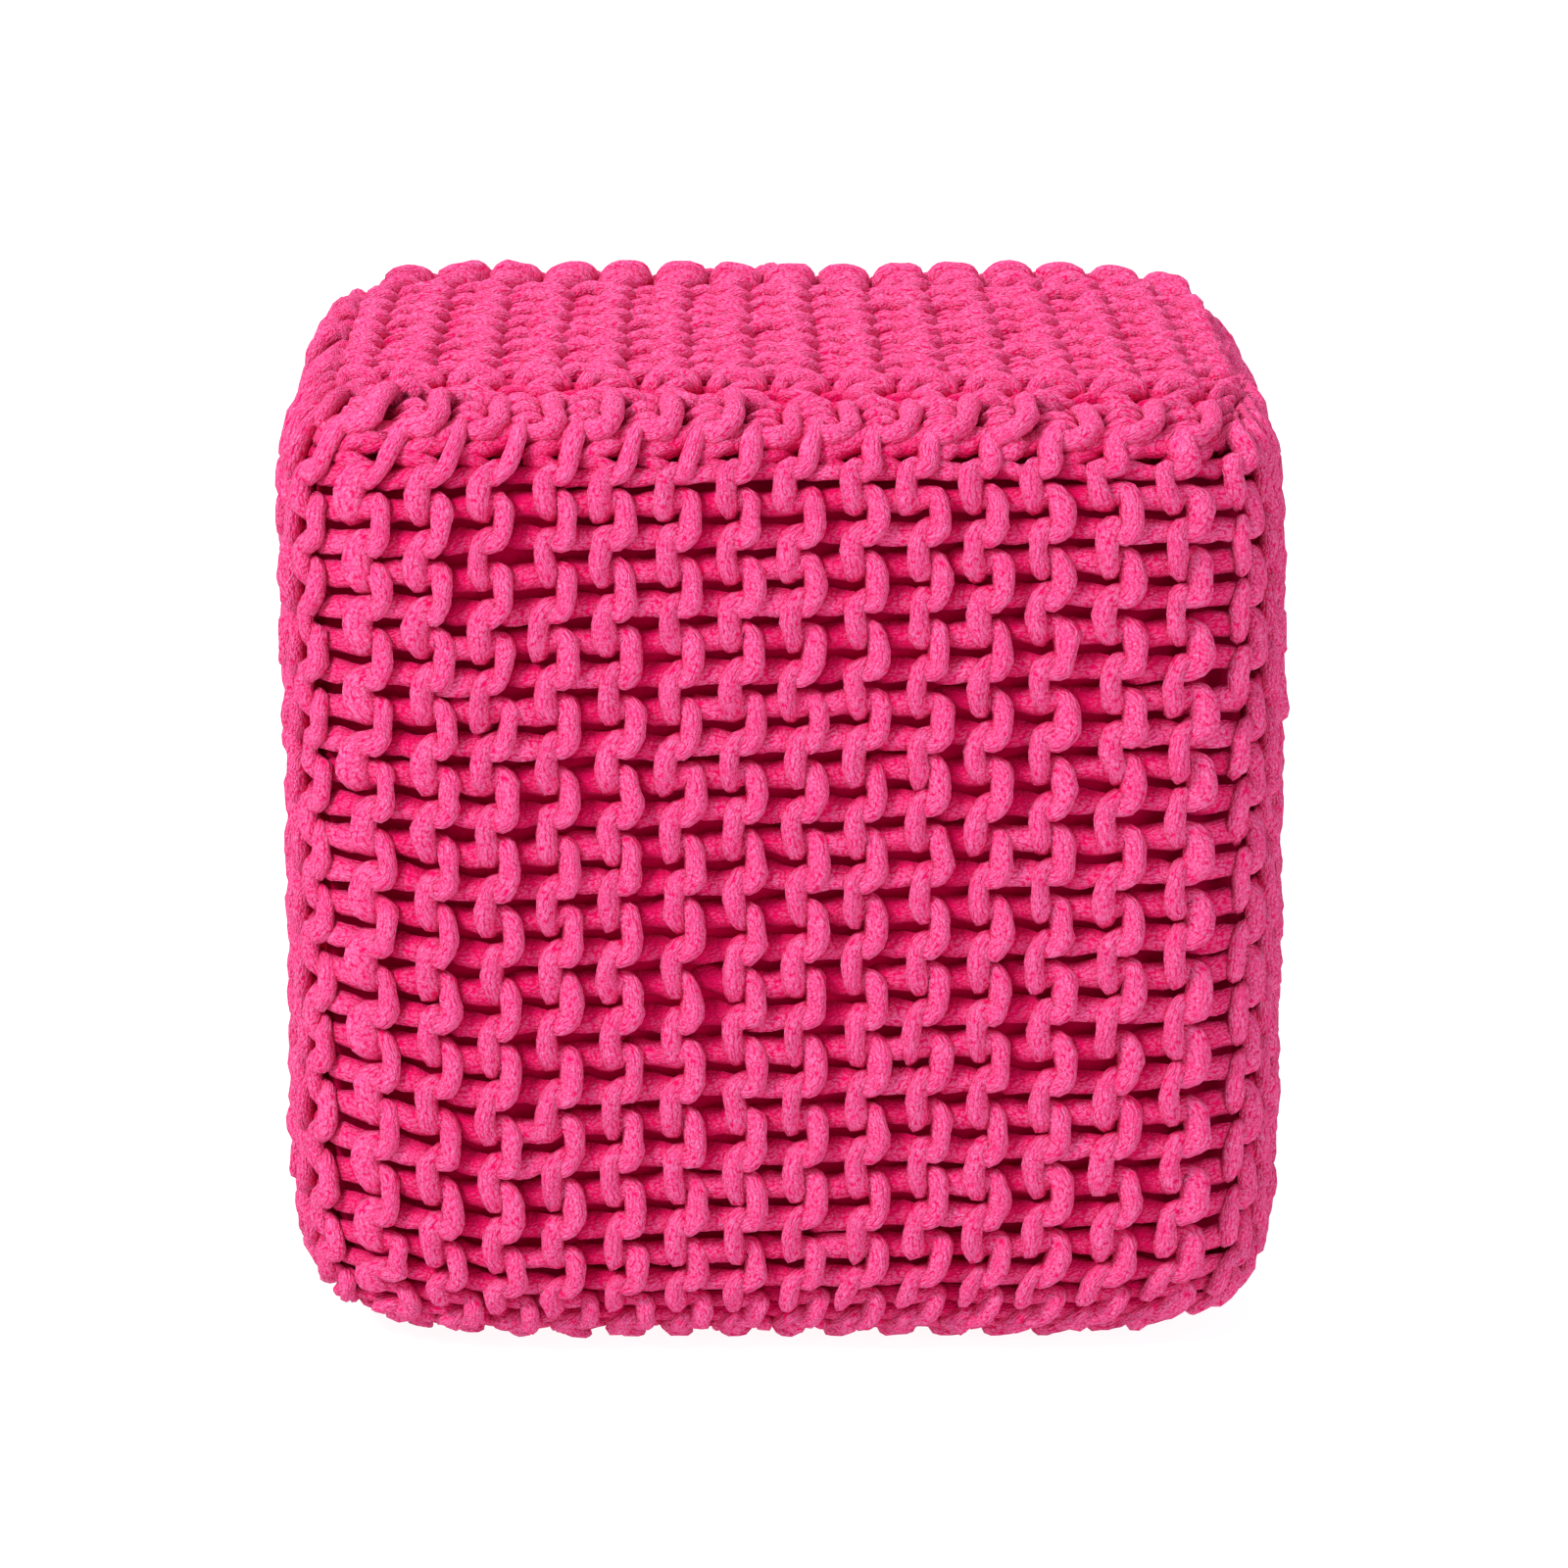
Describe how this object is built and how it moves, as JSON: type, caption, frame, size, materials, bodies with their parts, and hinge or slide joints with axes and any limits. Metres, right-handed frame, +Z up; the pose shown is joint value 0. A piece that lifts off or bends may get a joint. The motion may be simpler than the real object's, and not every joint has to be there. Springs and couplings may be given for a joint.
{
  "type": "knitted cube pouf",
  "caption": "Free-standing stuffed cube pouf in a chunky knitted cotton cover, with upright ridges round its sides, rounded edges and a flat underside to stand on.",
  "frame": {"origin": "on the floor, under the middle of the pouf", "axes": "+Z up; the front in the picture faces -Y, and +X is to its right; the ridges of the top run along Y"},
  "size_m": [0.3607, 0.356, 0.3456],
  "materials": {
    "side_yarn": "dull chunky cotton yarn, knitted",
    "top_yarn": "dull chunky cotton yarn, knitted",
    "underside_yarn": "dull chunky cotton yarn, knitted"
  },
  "bodies": {
    "root": {"side_band": "side_yarn", "top_square": "top_yarn", "bottom_square": "underside_yarn"}
  },
  "joints": []
}
